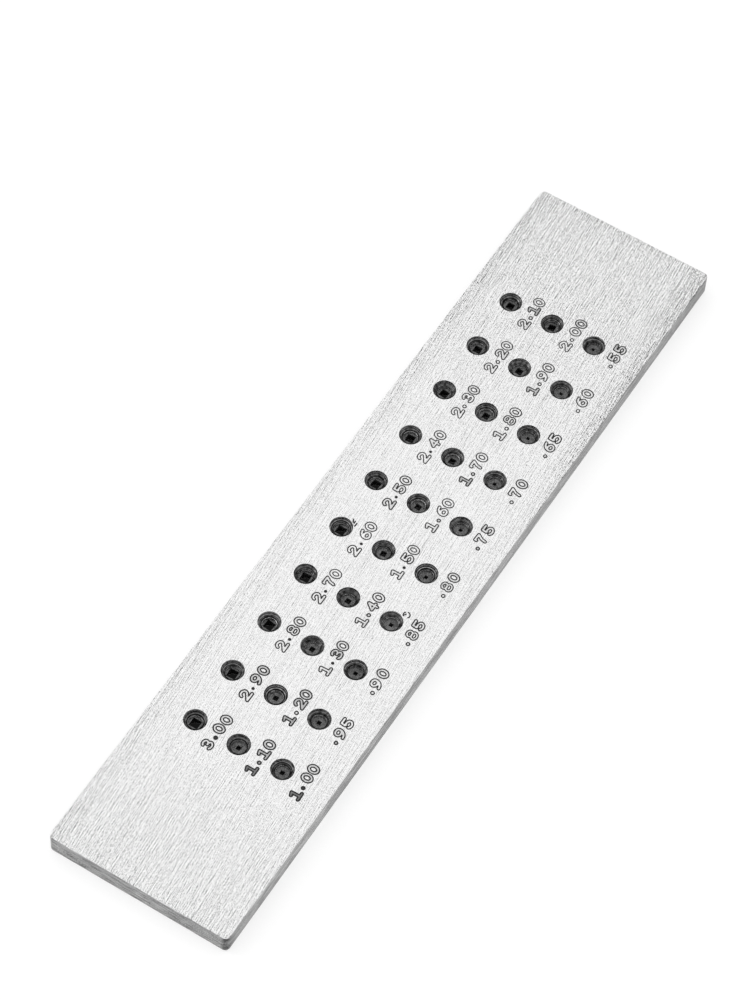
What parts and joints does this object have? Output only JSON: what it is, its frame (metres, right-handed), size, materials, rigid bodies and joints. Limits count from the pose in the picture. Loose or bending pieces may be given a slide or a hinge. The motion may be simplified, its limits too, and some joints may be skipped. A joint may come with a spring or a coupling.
{
  "type": "wire draw plate",
  "caption": "Flat ground steel draw plate with rows of pressed-in carbide dies, whose square holes shape and size wire that is pulled through them.",
  "frame": {"origin": "middle of the plate's back face", "axes": "+X along the plate's length from its wide blank end to its narrow blank end, +Y across towards the row of the largest holes, +Z out of the numbered front face"},
  "size_m": [0.205, 0.045, 0.0055],
  "materials": {
    "ground_steel": "bright steel, belt ground lengthwise, with milled edges",
    "carbide": "dark grey tungsten carbide, finely ground"
  },
  "bodies": {
    "root": {"steel_plate": "ground_steel", "die_3_00": "carbide", "die_2_90": "carbide", "die_2_80": "carbide", "die_2_70": "carbide", "die_2_60": "carbide", "die_2_50": "carbide", "die_2_40": "carbide", "die_2_30": "carbide", "die_2_20": "carbide", "die_2_10": "carbide", "die_1_10": "carbide", "die_1_20": "carbide", "die_1_30": "carbide", "die_1_40": "carbide", "die_1_50": "carbide", "die_1_60": "carbide", "die_1_70": "carbide", "die_1_80": "carbide", "die_1_90": "carbide", "die_2_00": "carbide", "die_1_00": "carbide", "die_0_95": "carbide", "die_0_90": "carbide", "die_0_85": "carbide", "die_0_80": "carbide", "die_0_75": "carbide", "die_0_70": "carbide", "die_0_65": "carbide", "die_0_60": "carbide", "die_0_55": "carbide"}
  },
  "joints": []
}
